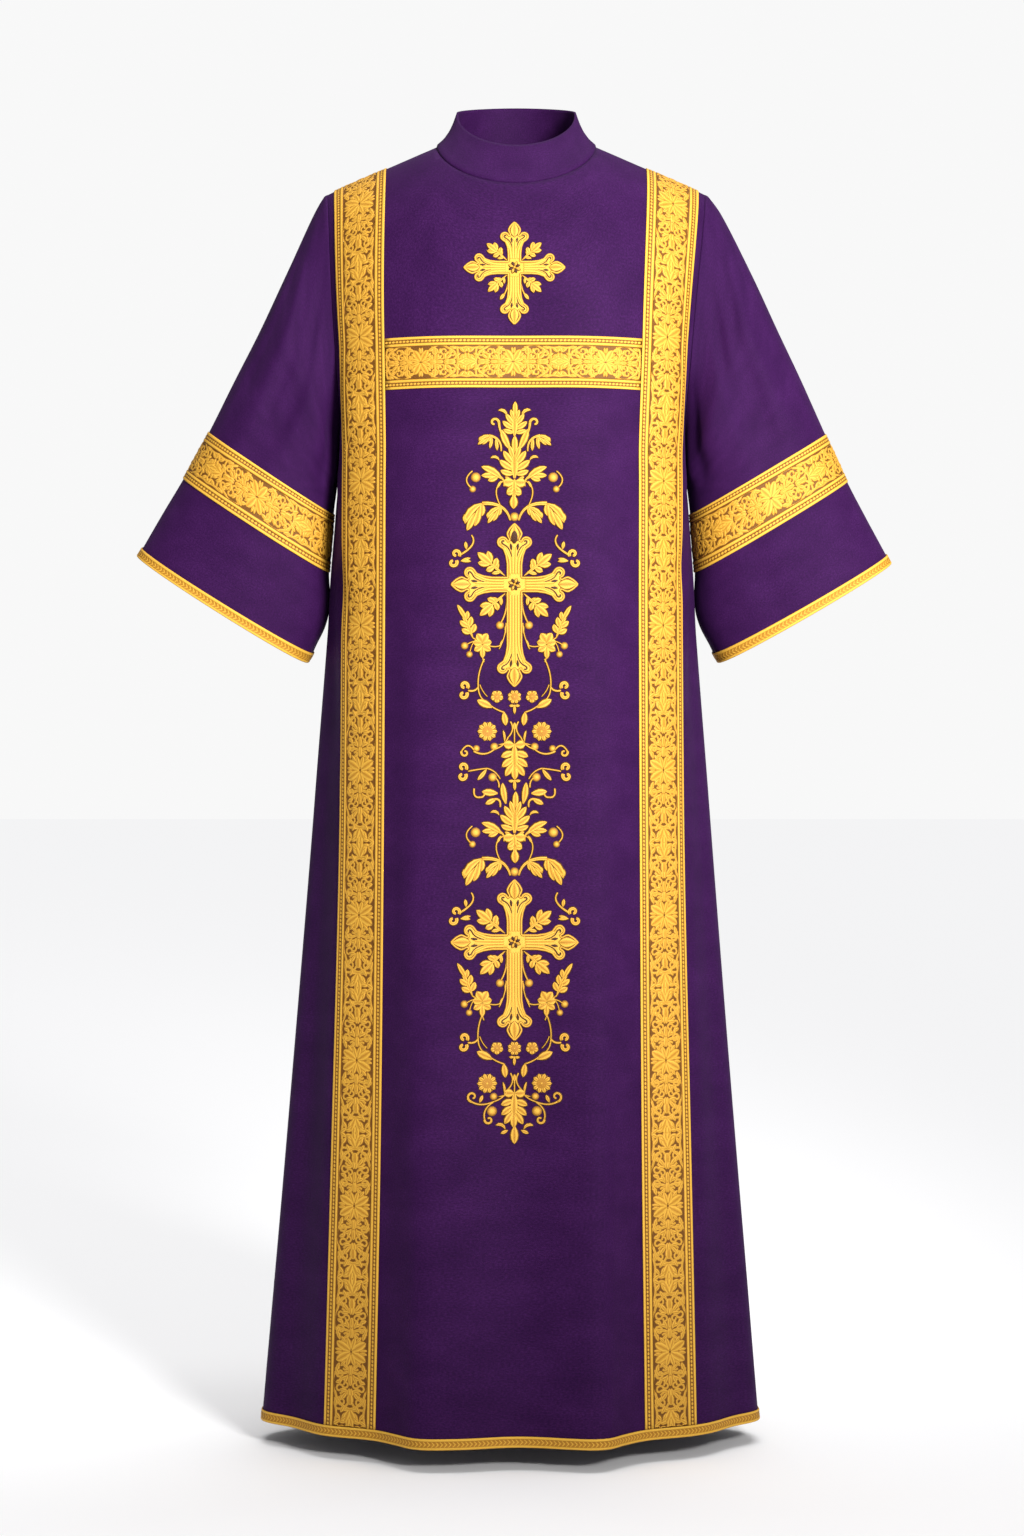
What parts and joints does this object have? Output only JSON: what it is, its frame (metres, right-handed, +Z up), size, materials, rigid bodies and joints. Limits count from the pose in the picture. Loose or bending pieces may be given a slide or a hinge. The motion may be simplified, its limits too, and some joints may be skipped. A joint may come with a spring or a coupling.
{
  "type": "liturgical robe of the dalmatic kind (cassock)",
  "caption": "Hollow wide-sleeved purple liturgical robe with a stand collar, gold brocade bands, narrow gold trims and raised gold crosses down the front.",
  "frame": {"origin": "midway between the two neck points, where the shoulders carry the robe", "axes": "+Z up, the front faces -Y, the wearer's left arm is at +X"},
  "size_m": [0.851, 0.3149, 1.4919],
  "materials": {
    "purple_cloth": "matt plain weave with a faint sheen",
    "gold_braid": "gold brocade with brown ground in its gaps",
    "gold_thread": "satin-stitched gold thread"
  },
  "bodies": {
    "root": {"front": "purple_cloth", "back": "purple_cloth", "collar": "purple_cloth", "sleeve_left": "purple_cloth", "sleeve_right": "purple_cloth", "band_left": "gold_braid", "band_right": "gold_braid", "band_chest": "gold_braid", "band_sleeve_left": "gold_braid", "band_sleeve_right": "gold_braid", "trim_cuff_left": "gold_braid", "trim_cuff_right": "gold_braid", "trim_hem": "gold_braid", "cross_small": "gold_thread", "cross_upper": "gold_thread", "cross_lower": "gold_thread"}
  },
  "joints": []
}
